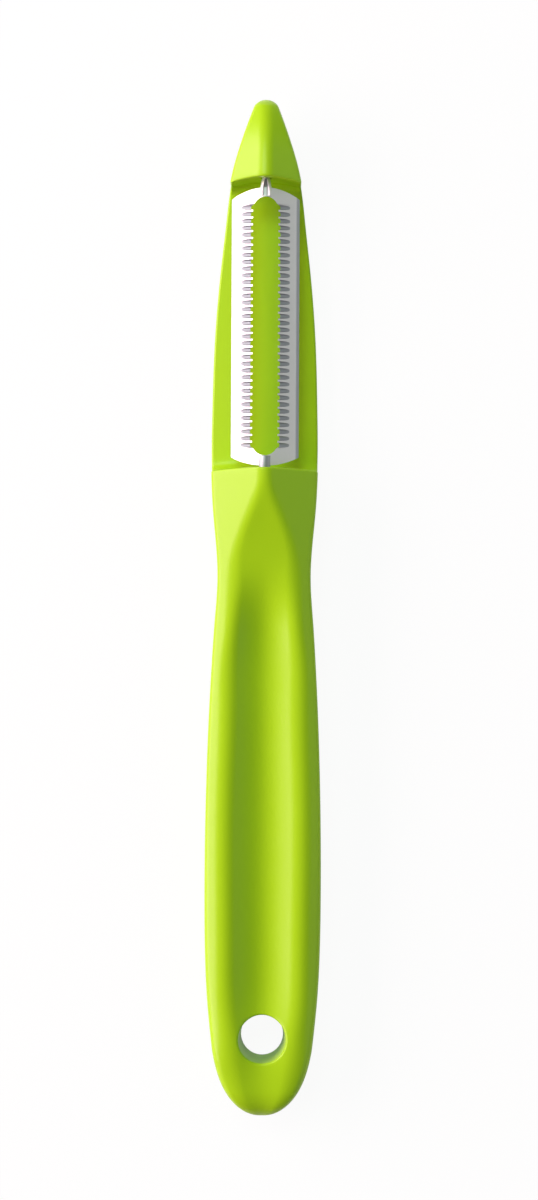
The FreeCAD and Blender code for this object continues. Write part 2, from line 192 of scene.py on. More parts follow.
# The same for the thumb groove: its drop below the ridge line, the slope of its flanks
# and how softly its rims are blended.
neck_drop_shares = [(0.0, -0.17), (0.16, -0.02), (0.37, 0.157), (0.55, 0.29), (0.82, 0.43), (1.0, 0.515)]
grip_drop_shares = [(0.067, 0.755), (0.225, 0.92), (0.4, 1.0), (0.6, 1.0), (0.71, 0.985), (0.79, 0.925)]
end_drop_shares = [(0.86, 0.76), (0.93, 0.66), (1.0, 0.63)]
neck_flank_shares = [(0.0, 0.06), (0.5, 0.06), (0.82, 0.07), (1.0, 0.3)]
grip_flank_shares = [(0.04, 0.7), (0.08, 1.0), (0.15, 1.0), (0.25, 1.0), (0.4, 1.0), (0.6, 1.0), (0.79, 0.95)]
end_flank_shares = [(0.86, 0.75), (0.9, 0.5), (0.93, 0.3), (1.0, 0.2)]
neck_rim_shares = [(0.0, 0.3), (0.5, 0.3), (0.82, 0.38), (1.0, 0.55)]
grip_rim_shares = [(0.08, 0.8), (0.225, 1.0), (0.4, 1.0), (0.6, 1.0), (0.8, 1.0), (1.0, 1.0)]
# The same for the lift of the back, and for the depth of the back's groove.
bow_lift_shares = [(0.25, 0.15), (0.5, 0.0), (0.78, 0.08)]
grip_lift_shares = [(0.22, 0.35), (0.5, 0.0), (0.65, 0.0)]
back_groove_shares = [(0.1, 0.35), (0.25, 0.9), (0.4, 1.0), (0.6, 1.0), (0.78, 0.8), (0.88, 0.3), (1.0, 0.1)]

# How finely the meshes are divided, what room the holes get in them, and where their shading creases.
wall_steps = 14
arc_steps = 6
front_steps = 56
side_steps = 9
back_steps = 36
rim_steps = 4
foot_steps = 6
bow_rows = 60
nose_rows = 18
tip_rows = 10
neck_rows = 26
grip_rows = 84
end_rows = 18
ring_steps = 4
lip_steps = 4
columns = 2 * (wall_steps + arc_steps) + front_steps + 1
hole_columns = 16
hole_clear = 4.9
hole_wall_steps = 8
bore_clear_across = 2.0
bore_clear_up = 1.5
face_tries = 12
slot_end_rows = 9
blade_end_rows = 6
flute_row_shares = (-1.04, -0.99, -0.93, -0.8, -0.5, 0.5, 0.8, 0.93, 0.99, 1.04)
least_row_gap = 0.012
flute_column_shares = (0, 0.08, 0.2, 0.34, 0.48, 0.62, 0.76, 0.88, 1)
flute_margin = 0.02
least_flute_end = 1.3
flank_columns = 3
bend_columns = 4
edge_strip = 0.1
halvings = 30
on_ridge = 0.0001
weld = 0.002
plastic_crease = math.pi
steel_crease = math.radians(32)

# The finishes: waves to the metre of their patterns, and how strongly the patterns show.
flow_scale = 60
flow_stretch = (1, 0.35, 1)
gloss_scale = 420
gloss_change = 0.1
grain_scale = 2600
grain_strength = 0.06
grain_height = 0.2 * mm
plastic_specular = 0.3
grind_stretch = (9000, 220, 9000)
grind_change = 0.1
grind_strength = 0.08
grind_height = 0.05 * mm
cloud_scale = 160
cloud_change = 0.06
# How sharply the painted shade of the ground flutes rises from their lands.
flute_shade_rise = 16.0
# The span across the bend, before and after its middle line, over which the painted shade on the flanges
# comes in.
flange_shade_before = 0.05
flange_shade_after = 0.25

# The studio, in metres: each lamp's place, height, length and colour, then the camera and the floor.
lamps = {
    "key": ((-0.694, 0.13, 0.314), 0.45, 1.05, (1, 0.74, 0.80)),
    "top": ((-0.16, 0.38, 0.66), 0.3, 0.3, (0.76, 1, 0.84)),
    "fill": ((0.66, 0.0, 0.35), 0.33, 1.2, (1, 0.99, 0.96)),
}
camera_lens = 84.24
camera_sensor = 36
camera_place = (0.84 * mm, 1.34 * mm)
camera_turn = math.radians(0.27)
floor_reach = 1.5
floor_gap = 0.02 * mm
floor_glow = 0.94
floor_glossy_share = 0.4
floor_shade = (0.8, 0.8, 0.8, 1)
floor_tone = 0.985
speckle_scale = 30
speckle_change = 0.02


class Rail:
    """A smooth line through (place along Y, value) points, as a function of the place."""

    def __init__(self, points):
        self.places, self.values = np.array(sorted(points), float).T
        self.gaps = np.diff(self.places)
        rises = np.diff(self.values) / self.gaps
        count = len(self.places)
        system = np.zeros((count, count))
        right = np.zeros(count)
        for i in range(1, count - 1):
            before, after = self.gaps[i - 1], self.gaps[i]
            system[i, i - 1:i + 2] = before, 2 * (before + after), after
            right[i] = 6 * (rises[i] - rises[i - 1])
        for end, near, turn in ((0, 1, rises[1] - rises[0]), (-1, -2, rises[-1] - rises[-2])):
            gap, other = self.gaps[end], self.gaps[near]
            system[end, end], system[end, near] = 2 * gap, gap
            right[end] = 6 * gap * turn / (gap + other)
        self.bends = np.linalg.solve(system, right)

    def __call__(self, y):
        i = min(max(bisect.bisect(self.places, y) - 1, 0), len(self.gaps) - 1)
        gap = self.gaps[i]
        a = (self.places[i + 1] - y) / gap
        b = 1 - a
        bend = (a ** 3 - a) * self.bends[i] + (b ** 3 - b) * self.bends[i + 1]
        return float(a * self.values[i] + b * self.values[i + 1] + bend * gap * gap / 6)


def quarter(steps):
    """Evenly spaced angles over a quarter turn, without its start."""
    return [math.pi / 2 * i / steps for i in range(1, steps + 1)]


def along(front, rear, shares, start, step):
    """Rail points on one stretch: each share of its length has the start value plus a share of the step."""
    return [(front + (rear - front) * place, start + step * part) for place, part in shares]


def half_width_rail():
    tip, nose, head = tip_width / 2, nose_width / 2, head_width / 2
    waist = head - waist_pinch / 2
    grip = head + grip_swell / 2
    end = grip - end_taper / 2
    points = [(y_tip, tip), (y_nose, nose), (y_waist, waist)]
    points += along(y_tip, y_nose, nose_width_shares, tip, nose - tip)
    points += along(y_nose, y_neck, bow_width_shares, nose, head - nose)
    points += along(y_neck, y_waist, neck_width_shares, waist, head - waist)
    points += along(y_waist, y_end, grip_width_shares, waist, grip - waist)
    points += along(y_waist, y_end, end_width_shares, end, grip - end)
    return Rail(points)


def ridge_rail():
    half_nose = tip_ridge_height + (ridge_height - tip_ridge_height) * ridge_line_share
    points = [(y_tip, tip_ridge_height), ((y_tip + y_nose) / 2, half_nose), (y_end, end_ridge_height)]
    points += [(y, ridge_height) for y in (y_nose, y_window_middle, y_neck)]
    return Rail(points + [(y, grip_ridge_height) for y in (y_waist, y_grip_middle)])


def groove_form_rail(neck_shares, grip_shares, full):
    """How a size of the thumb groove changes along it, from shares of its full value."""
    points = [(y_tip, neck_shares[0][1] * full), (y_nose, neck_shares[0][1] * full)]
    points += along(y_neck, y_waist, neck_shares, 0, full)
    points += along(y_waist, y_end, grip_shares, 0, full)
    return Rail(points)


def base_rail():
    points = [(y_tip, tip_base_height), (y_nose, nose_base_lift), (y_neck, neck_base_lift / 2)]
    points += along(y_nose, y_neck, bow_lift_shares, 0, nose_base_lift)
    points += [(y_waist, neck_base_lift), (y_end, end_base_lift)]
    points += along(y_waist, y_end, grip_lift_shares, 0, neck_base_lift)
    return Rail(points)


def back_groove_rail():
    points = [(y, 0) for y in (y_tip, y_nose, y_neck, y_waist)]
    points += along(y_waist, y_end, back_groove_shares, 0, back_groove_depth)
    return Rail(points)


def stepped_rail(tip, head, grip, end):
    return Rail([(y_tip, tip), (y_nose, head), (y_neck, head),
                 (y_waist, (head + grip) / 2), (y_grip_middle, grip), (y_end, end)])


half_width = half_width_rail()
ridge = ridge_rail()
groove = groove_form_rail(neck_drop_shares, grip_drop_shares + end_drop_shares, groove_drop)
groove_flank = groove_form_rail(neck_flank_shares, grip_flank_shares + end_flank_shares, groove_flank_slope)
rim_blend = groove_form_rail(neck_rim_shares, grip_rim_shares, groove_rim_blend)
base = base_rail()
back_groove = back_groove_rail()
back_crown = stepped_rail(0, back_bow_crown, 0, 0)
front_edge = stepped_rail(head_edge_radius, head_edge_radius, grip_edge_radius, end_edge_radius)
back_edge = stepped_rail(nose_back_radius, bow_back_radius, grip_back_radius, grip_back_radius)


def front_height(x, y):
    """Height of the front: a gable with a rounded ridge, hollowed by the groove with rounded rims."""
    across = abs(x)
    if across < ridge_half_band:
        across = (x * x / ridge_half_band + ridge_half_band) / 2
    gable = ridge(y) - gable_slope * (across - ridge_half_band / 2)
    hollow = ridge(y) - groove(y) + groove_flank(y) * (math.hypot(x, groove_round) - groove_round)
    near = max(0, rim_blend(y) - abs(gable - hollow))
    return min(gable, hollow) - near * near / (4 * rim_blend(y))


def back_height(x, y):
    """Height of the back: crowned behind the blade, with a shallow groove along the grip."""
    inside = max(0, 1 - (x / (groove_half_share * half_width(y))) ** 2)
    return base(y) + back_crown(y) * (x / half_width(y)) ** 2 + back_groove(y) * inside * inside


def cap(distance, length):
    """Share of the full size at this distance from an end that is rounded over this length."""
    if distance >= length:
        return 1
    return math.sqrt(max(0, 1 - (1 - distance / length) ** 2))


def arc_radius(half, bulge):
    """Radius of an arc that bulges this far over this half width."""
    return (half * half + bulge * bulge) / (2 * bulge)


def fallen(x, radius):
    """How far an arc has fallen away from its middle at this distance across."""
    return radius - math.sqrt(radius * radius - x * x)


def bow_height(x, y):
    """Height of the bow's upper side: crowned across and arched lengthwise."""
    axis = bow_thickness + arc_radius(window_length / 2, bow_arch)
    reach = axis - bow_thickness + fallen(x, arc_radius(head_width / 2, bow_crown))
    return axis - math.sqrt(reach * reach - (y - y_window_middle) ** 2)


class Edge:
    """The arc that joins a section's side wall to its front (side 1) or back (side -1)."""

    def __init__(self, height, y, radius, side):
        self.half = half_width(y)
        self.radius = radius
        self.side = side
        probe = radius / 2
        fall = height(self.half - 2 * probe, y) - height(self.half - probe, y)
        self.tilt = math.atan(side * fall / probe)
        self.last = self.half - radius + radius * math.sin(self.tilt)
        self.centre = height(self.last, y) - side * radius * math.cos(self.tilt)

    def at(self, turn):
        """The point (x, z) of the arc at this turn from the side wall."""
        out = self.half - self.radius + self.radius * math.cos(turn)
        return out, self.centre + self.side * self.radius * math.sin(turn)


class Section:
    """The handle's outer form at one place along its length."""

    def __init__(self, y):
        self.y = y
        self.half = half_width(y)
        self.front = Edge(front_height, y, front_edge(y), 1)
        self.back = Edge(back_height, y, back_edge(y), -1)
        self.middle = (self.front.centre + self.back.centre) / 2
        self.narrow = cap(y_tip - y, tip_round) * cap(y - y_end, end_round)
        self.low = cap(y_tip - y, tip_round) * cap(y - y_end, end_lip_round)

    def place(self, x, z):
        """A point of the full section, drawn in where the handle's ends are rounded."""
        return Vector((x * self.narrow, self.y, self.middle + (z - self.middle) * self.low))

    def seam(self, share):
        """Height of the line, a share of the way up the side wall, where upper and lower skin meet."""
        return self.back.centre + (self.front.centre - self.back.centre) * share

    def upper(self, column, seam):
        """A point of the upper skin, whose columns run from the right seam over the front to the left one."""
        near = min(column, columns - 1 - column)
        side = 1 if column == near else -1
        if near <= wall_steps:
            return self.place(side * self.half, seam + (self.front.centre - seam) * near / wall_steps)
        if near < wall_steps + arc_steps:
            x, z = self.front.at((math.pi / 2 - self.front.tilt) * (near - wall_steps) / arc_steps)
            return self.place(side * x, z)
        x = self.front.last * (1 - 2 * (column - wall_steps - arc_steps) / front_steps)
        return self.place(x, front_height(x, self.y))

    def lower(self, seam):
        """The lower skin's points, from the right seam round the back to the left one."""
        wall = max(0, seam - self.back.centre)
        first = math.asin(max(0, self.back.centre - seam) / self.back.radius)
        arc = self.back.radius * (math.pi / 2 - self.back.tilt - first)
        right = []
        for i in range(side_steps):
            run = (wall + arc) * i / side_steps
            if run < wall:
                right.append((self.half, seam - run))
            else:
                right.append(self.back.at(first + (run - wall) / self.back.radius))
        flat = [self.back.last * (1 - 2 * i / back_steps) for i in range(back_steps + 1)]
        line = right + [(x, back_height(x, self.y)) for x in flat] + [(-x, z) for x, z in reversed(right)]
        return [self.place(x, z) for x, z in line]


section_at = functools.lru_cache(maxsize=None)(Section)


def skin_point(height, x, y):
    """The point of the front or back, whichever this height is of, at this place in plan."""
    section = section_at(y)
    return section.place(x / section.narrow, height(x / section.narrow, y))


front_at = functools.partial(skin_point, front_height)
back_at = functools.partial(skin_point, back_height)


class Face:
    """The nose's or neck's upright face over the bow, and the rim where it meets the handle's skin."""

    def __init__(self, y_face, own_half, bulge, into, rim):
        self.y_face = y_face
        self.radius = arc_radius(own_half, bulge)
        self.into = into
        self.rim = rim
        self.y_side = y_face
        for i in range(face_tries):
            self.y_side = self.at(half_width(self.y_side))
        self.half = half_width(self.y_side)
        self.y_foot = self.y_side - into * recess_radius
        self.foot_height = bow_height(half_width(self.y_foot), self.y_foot)
        self.corner = self.foot_height + recess_radius
        behind = section_at(self.y_side + into * rim)
        self.share = (self.corner - behind.back.centre) / (behind.front.centre - behind.back.centre)
        side = section_at(self.y_side)
        self.across = [side.upper(column, self.corner).x for column in range(columns)]
        sections = [section_at(self.at(x)) for x in self.across]
        self.outline = [section.upper(column, self.corner) for column, section in enumerate(sections)]
        self.inset = [self.inside(column) for column in range(wall_steps, columns - wall_steps)]
        self.shares = [point.x / self.inset[0].x for point in self.inset]

    def at(self, x):
        """Place along Y of the face at this distance across."""
        return self.y_face - fallen(x, self.radius)

    def sag(self, x):
        """How far the face lies from its own side edges along Y."""
        return self.at(x) - self.y_side

    def inside(self, column):
        """The point of the face that lies inside its outline by the rim's width."""
        here = self.outline[column]
        step = (self.outline[column + 1] - self.outline[column - 1]).normalized()
        x = here.x - self.rim * step.z
        return Vector((x, self.at(x), here.z + self.rim * step.x))

    def skin_row(self, y_far, share):
        """A row of the upper skin, from the rim (share 0) to a straight row at y_far (share 1)."""
        row = []
        for column, x in enumerate(self.across):
            start = self.at(x) + self.into * self.rim
            section = section_at(start + (y_far - start) * share)
            row.append(section.upper(column, section.seam(self.share)))
        return row

    def face_row(self, share):
        """A row of points across the face, from the gable (share 0) down to the foot's rounding (share 1)."""
        row = []
        for top, part in zip(self.inset, self.shares):
            x = top.x + (part * (self.half - self.rim) - top.x) * share
            foot = bow_height(x, self.y_foot + self.sag(x)) + recess_radius
            row.append(Vector((x, self.at(x), top.z + (foot - top.z) * share)))
        return row

    def foot_row(self, turn):
        """A row of points across the rounding between face and bow."""
        y = self.y_foot + self.into * recess_radius * math.cos(turn)
        row = []
        for part in self.shares:
            x = part * (half_width(y) - self.rim)
            foot = bow_height(x, self.y_foot + self.sag(x))
            row.append(Vector((x, y + self.sag(x), foot + recess_radius * (1 - math.sin(turn)))))
        return row

    def foot_side(self, turn, out):
        """Place along Y and height of the rounding at the handle's side, or this far outside it."""
        reach = recess_radius + out
        return (self.y_foot + self.into * reach * math.cos(turn),
                self.corner - reach * math.sin(turn))


def bow_row(nose, neck, share):
    """A row of points across the bow's upper side, between the feet of nose and neck."""
    y = nose.y_foot + (neck.y_foot - nose.y_foot) * share
    row = []
    for front, rear in zip(nose.shares, neck.shares):
        x = (front + (rear - front) * share) * (half_width(y) - nose.rim)
        here = y + nose.sag(x) + (neck.sag(x) - nose.sag(x)) * share
        row.append(Vector((x, here, bow_height(x, here))))
    return row


def rounded(skin, corner, inner):
    """Points of a rounded edge from the skin to the inner side of the window, round their shared corner."""
    line = []
    for i in range(rim_steps + 1):
        t = i / rim_steps
        line.append(skin * (1 - t) ** 2 + corner * 2 * t * (1 - t) + inner * t * t)
    return line


def grid(mesh, rows, hole=None):
    """Adds quads between rows of points, apart from a hole's cells (first row, last row, first, last)."""
    made = [[mesh.verts.new(point) for point in row] for row in rows]
    for i in range(len(made) - 1):
        for j in range(len(made[i]) - 1):
            if hole and hole[0] <= i < hole[1] and hole[2] <= j < hole[3]:
                continue
            mesh.faces.new((made[i][j], made[i][j + 1], made[i + 1][j + 1], made[i + 1][j]))


def loop_round(rows, hole):
    """The points of a grid round the cells of a hole."""
    top, bottom, first, last = hole
    loop = [rows[top][j] for j in range(first, last)]
    loop += [rows[i][last] for i in range(top, bottom)]
    loop += [rows[bottom][j] for j in range(last, first, -1)]
    return loop + [rows[i][first] for i in range(bottom, top, -1)]


def in_plan(point, flat):
    return Vector((point[flat[0]], point[flat[1]]))


def mouth(loop, spokes, centre, radius, lip, flat, surface, inward):
    """Rings of points from the loop round a hole over its rounded lip to the top of the hole's wall."""
    rings = [loop]
    for i in range(1, ring_steps + 1):
        share = i / ring_steps
        rings.append([surface(*in_plan(point, flat).lerp(centre + spoke * (radius + lip), share))
                      for point, spoke in zip(loop, spokes)])
    for turn in quarter(lip_steps):
        reach = radius + lip * (1 - math.sin(turn))
        sunk = inward * lip * (1 - math.cos(turn))
        rings.append([surface(*(centre + spoke * reach)) + sunk for spoke in spokes])
    return rings


def spokes_to(loop, centre, flat):
    """Directions from a hole's centre to the points of the loop round it."""
    return [(in_plan(point, flat) - centre).normalized() for point in loop]


def closed(rings):
    return [ring + ring[:1] for ring in rings]


def rows_between(places, low, high):
    """First and last index of the places between two values, with one more at each end."""
    inside = [i for i, place in enumerate(places) if low < place < high]
    return inside[0] - 1, inside[-1] + 1


def straight_row(y, share):
    section = section_at(y)
    return [section.upper(column, section.seam(share)) for column in range(columns)]


def lower_row(y, share):
    section = section_at(y)
    return section.lower(section.seam(share))


def window_side(nose, neck, out):
    """Place along Y and height of the window's edge at the handle's side, or this far outside it."""
    turns = quarter(foot_steps)
    line = [nose.foot_side(turn, out) for turn in turns]
    for i in range(1, bow_rows):
        y = nose.y_foot + (neck.y_foot - nose.y_foot) * i / bow_rows
        line.append((y, bow_height(half_width(y), y) - out))
    return line + [neck.foot_side(turn, out) for turn in reversed(turns)]


def skins(mesh, nose, neck, hole_lip):
    """The handle's outer skin: the nose's and the grip's upper side, and the underside from tip to end."""
    tip_places = [y_tip - tip_round * (1 - math.sin(turn)) for turn in quarter(tip_rows)]
    end_places = [y_end + end_round * (1 - math.sin(turn)) for turn in quarter(end_rows)]
    y_grip_end = y_end + end_round
    grip_places = [y_waist + (y_grip_end - y_waist) * i / grip_rows for i in range(1, grip_rows + 1)]

    nose_upper = [nose.skin_row(y_tip - tip_round, i / nose_rows) for i in range(nose_rows + 1)]
    nose_upper += [straight_row(y, nose.share) for y in tip_places]
    grid(mesh, nose_upper)
    grip_upper = [neck.skin_row(y_waist, i / neck_rows) for i in range(neck_rows + 1)]
    grip_upper += [straight_row(y, neck.share) for y in grip_places + end_places]

    lower = [lower_row(row[0].y, nose.share) for row in reversed(nose_upper)]
    lower += [section_at(y).lower(z) for y, z in window_side(nose, neck, nose.rim)]
    first_grip = len(lower)
    lower += [lower_row(row[0].y, neck.share) for row in grip_upper]

    places = [-row[0].y for row in grip_upper]
    top, bottom = rows_between(places, -y_hole - hole_clear, -y_hole + hole_clear)
    middle = (columns - 1) // 2
    front_hole = top, bottom, middle - hole_columns, middle + hole_columns
    grid(mesh, grip_upper, front_hole)
    middle = side_steps + back_steps // 2
    back_hole = top + first_grip, bottom + first_grip, middle - hole_columns, middle + hole_columns
    grid(mesh, lower, back_hole)
    centre = Vector((0, y_hole))
    front_loop = loop_round(grip_upper, front_hole)
    spokes = spokes_to(front_loop, centre, (0, 1))
    down = Vector((0, 0, -1))
    front = mouth(front_loop, spokes, centre, hole_radius + hole_draft, hole_lip, (0, 1), front_at, down)
    back = mouth(loop_round(lower, back_hole), spokes, centre, hole_radius, hole_lip, (0, 1), back_at, -down)
    shares = [i / hole_wall_steps for i in range(1, hole_wall_steps)]
    wall = [[a.lerp(b, share) for a, b in zip(front[-1], back[-1])] for share in shares]
    grid(mesh, closed(front + wall + back[::-1]))


def window(mesh, nose, neck):
    """The window's inner side: nose face, bow and neck face, with the pins' bores and the rounded rim."""
    turns = quarter(foot_steps)
    steps = [i / wall_steps for i in range(wall_steps + 1)]
    nose_face = [nose.face_row(step) for step in steps]
    neck_face = [neck.face_row(step) for step in steps]
    inner = [nose.foot_row(turn) for turn in turns]
    inner += [bow_row(nose, neck, i / bow_rows) for i in range(1, bow_rows)]
    inner += [neck.foot_row(turn) for turn in reversed(turns)]
    grid(mesh, [nose_face[-1]] + inner + [neck_face[-1]])
    rims = []
    for face, rows in ((nose, nose_face), (neck, neck_face)):
        bored_face(mesh, face, rows)
        inset = [row[0] for row in reversed(rows)] + rows[0][1:-1] + [row[-1] for row in rows]
        skin = face.skin_row(face.y_side, 0)
        rims.append([rounded(*points) for points in zip(skin, face.outline, inset)])
        grid(mesh, rims[-1])
    for side, column in ((1, 0), (-1, -1)):
        edge_rows = [rims[0][column]]
        lines = window_side(nose, neck, nose.rim), window_side(nose, neck, 0), inner
        for (y, z), (y_edge, z_edge), row in zip(*lines):
            skin = section_at(y).lower(z)[0]
            edge = Vector((side * half_width(y_edge), y_edge, z_edge))
            edge_rows.append(rounded(Vector((side * skin.x, y, z)), edge, row[column]))
        grid(mesh, edge_rows + [rims[1][column]])


def bored_face(mesh, face, rows):
    """One upright face of the window with the blind bore for the blade's pin."""
    middle = len(rows[0]) // 2
    half = round(bore_clear_across / (rows[0][middle].x - rows[0][middle + 1].x))
    heights = [-row[middle].z for row in rows]
    top, bottom = rows_between(heights, -pivot_height - bore_clear_up, -pivot_height + bore_clear_up)
    hole = top, bottom, middle - half, middle + half
    grid(mesh, rows, hole)
    loop = loop_round(rows, hole)
    centre = Vector((0, pivot_height))
    spokes = spokes_to(loop, centre, (0, 2))
    inward = Vector((0, face.into, 0))
    rings = mouth(loop, spokes, centre, bore_radius, bore_lip, (0, 2),
                  lambda x, z: Vector((x, face.at(x), z)), inward)
    rings.append([point + inward * bore_depth for point in rings[-1]])
    rings.append([Vector((0, face.y_face + face.into * bore_depth, pivot_height)) for point in rings[-1]])
    grid(mesh, closed(rings))


def roof(x):
    """Height of the blade's outer side over the pins' axis, and the angle it falls at, this far across."""
    out = abs(x)
    if out < bend_radius * math.sin(flank_angle):
        turn = math.asin(out / bend_radius)
        return ridge_over_pin + bend_radius * (math.cos(turn) - 1 / math.cos(flank_angle)), turn
    if out <= bend_start:
        return ridge_over_pin - out * math.tan(flank_angle), flank_angle
    if out < bend_end:
        turn = math.asin((out - bend_start) / bend_radius + math.sin(flank_angle))
        drop = bend_radius * (math.cos(flank_angle) - math.cos(turn))
        return ridge_over_pin - bend_start * math.tan(flank_angle) - drop, turn
    bend = ridge_over_pin - bend_half * math.tan(flank_angle)
    return bend - (out - bend_half) * math.tan(flange_angle), flange_angle


def flute_share(y):
    """How deep a flute is at this place along the slot: 1 on its middle line, 0 on the lands."""
    place = (y - y_slot_middle) / flute_pitch
    nearest = math.floor(place) + 0.5
    if abs(nearest) > flute_count / 2:
        return 0
    return math.sqrt(max(0, 1 - ((place - nearest) * flute_pitch / flute_half) ** 4))


def slot_distance(x, y):
    """Distance in plan from the outline of the slot, which is straight with round ends."""
    near = min(max(y, y_slot_rear + slot_half), y_slot_front - slot_half)
    return math.hypot(x, y - near) - slot_half


def blade_y(x, row):
    """Where a row with this place on the middle line lies further across: it follows the blade's ends."""
    for end, slot_end, bulge, way in ((y_blade_front, y_slot_front, front_end_bulge, 1),
                                      (y_blade_rear, y_slot_rear, rear_end_bulge, -1)):
        start = slot_end - way * end_zone
        if way * (row - start) > 0:
            reach = end - way * fallen(x, arc_radius(blade_half, bulge))
            return start + (row - start) * (reach - start) / (end - start)
    return row


def across_to(row, gap):
    """How far across a row has this distance from the slot, apart from the flutes' setback."""
    low, high = 0, blade_half
    for i in range(halvings):
        x = (low + high) / 2
        y = blade_y(x, row)
        if slot_distance(x, y) < gap(y):
            low = x
        else:
            high = x
    return high if high > on_ridge else 0


def blade_rows():
    """Places of the blade's rows on its middle line, close together over flutes and the slot's ends."""
    rows = [y_slot_rear, y_slot_front]
    turns = quarter(slot_end_rows)
    rows += [y_slot_rear + slot_half * (1 - math.cos(turn)) for turn in turns]
    rows += [y_slot_front - slot_half * (1 - math.cos(turn)) for turn in turns]
    for end, slot_end in ((y_blade_rear, y_slot_rear), (y_blade_front, y_slot_front)):
        rows += [end + (slot_end - end) * i / blade_end_rows for i in range(blade_end_rows)]
    first = (y_slot_front + y_slot_rear - (flute_count - 1) * flute_pitch) / 2
    for i in range(flute_count):
        for part in flute_row_shares:
            row = first + i * flute_pitch + part * flute_half
            if all(abs(row - other) > least_row_gap for other in rows):
                rows.append(row)
    return sorted(rows)


def blade_row(row, side):
    """Points of one row of one flank: its outer side from the slot to the flange, and its inner side."""
    inner = across_to(row, lambda y: flute_setback * flute_share(y))
    ends = max(least_flute_end, across_to(row, lambda y: flute_length + flute_margin))
    steps = [(inner + (ends - inner) * part, 0) for part in flute_column_shares]
    for i in range(1, flank_columns + 1):
        steps.append((ends + (bend_start - ends) * i / flank_columns, i / flank_columns))
    for i in range(1, bend_columns + 1):
        steps.append((bend_start + (bend_end - bend_start) * i / bend_columns, 1))
    steps += [(blade_half - edge_strip, 1), (blade_half, 1)]
    outer, under = [], []
    for x, share in steps:
        y = blade_y(x, row)
        height, turn = roof(x)
        away = slot_distance(x, y)
        sunk = max(0, flute_depth * (flute_share(y) - away / flute_length))
        outer.append(Vector((side * x, y, pivot_height + height - sunk)))
        if share < 1:
            low = x - share * sheet * math.sin(flank_angle)
            height, turn = roof(low)
            thick = min(sheet / math.cos(turn), edge_land + max(0, away) * bevel_fall)
        else:
            low = x - sheet * math.sin(turn)
            thick = sheet * math.cos(turn)
        under.append(Vector((side * low, y, pivot_height + height - thick)))
    return outer, under


def strip(mesh):
    """The blade's bent strip: two flanks with flanges, joined at both ends of the fluted slot."""
    rows = blade_rows()
    for side in (1, -1):
        outer, under = zip(*(blade_row(row, side) for row in rows))
        grid(mesh, outer)
        grid(mesh, under)
        grid(mesh, [[a[-1], b[-1]] for a, b in zip(outer, under)])
        slot = [i for i, row in enumerate(rows) if y_slot_rear <= row <= y_slot_front]
        grid(mesh, [[outer[i][0], under[i][0]] for i in slot])
        for end in (0, -1):
            grid(mesh, [outer[end], under[end]])


def rolled_pin(mesh, stations, seam_side):
    """A tab of the sheet rolled into a tube, with its seam above (1) or below (-1)."""
    loops = []
    for y, radius, seam in stations:
        loop = []
        for reach in (radius, radius - pin_sheet):
            gap = math.asin(seam / radius)
            turns = [gap + 2 * (math.pi - gap) * i / pin_steps for i in range(pin_steps + 1)]
            if reach < radius:
                turns.reverse()
            for turn in turns:
                height = pivot_height + seam_side * reach * math.cos(turn)
                loop.append(Vector((reach * math.sin(turn), y, height)))
        loops.append(loop)
    grid(mesh, closed(loops))
    for loop in (loops[0], loops[-1]):
        half = len(loop) // 2
        grid(mesh, [loop[:half], loop[:half - 1:-1]])


def linked(context, name, data):
    """A new object in the scene, made of this data."""
    item = bpy.data.objects.new(name, data)
    context.scene.collection.objects.link(item)
    return item


def finished(context, form, name, material, node, crease):
    """Turns a form in millimetres into a closed, smooth piece that takes the place of a node of the frame."""
    bmesh.ops.remove_doubles(form, verts=form.verts, dist=weld)
    bmesh.ops.recalc_face_normals(form, faces=form.faces)
    loose = [edge for edge in form.edges if len(edge.link_faces) != 2]
    if loose:
        raise RuntimeError(f"the mesh of {name} is open at {len(loose)} edges, near {loose[0].verts[0].co}")
    bmesh.ops.scale(form, vec=(mm, mm, mm), verts=form.verts)
    for face in form.faces:
        face.smooth = True
    mesh = bpy.data.meshes.new(name)
    form.to_mesh(mesh)
    form.free()
    mesh.set_sharp_from_angle(angle=crease)
    mesh.materials.append(material)
    piece = linked(context, name, mesh)
    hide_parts(node)
    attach(piece, node)


class Socket:
    """A value in a node tree. Arithmetic on it adds Math nodes."""

    def __init__(self, nodes, socket):
        self.nodes = nodes
        self.socket = socket

    def __add__(self, other):
        return self.nodes.math("ADD", self, other)

    def __sub__(self, other):
        return self.nodes.math("SUBTRACT", self, other)

    def __rsub__(self, other):
        return self.nodes.math("SUBTRACT", other, self)

    def __mul__(self, other):
        return self.nodes.math("MULTIPLY", self, other)

    __radd__ = __add__
    __rmul__ = __mul__


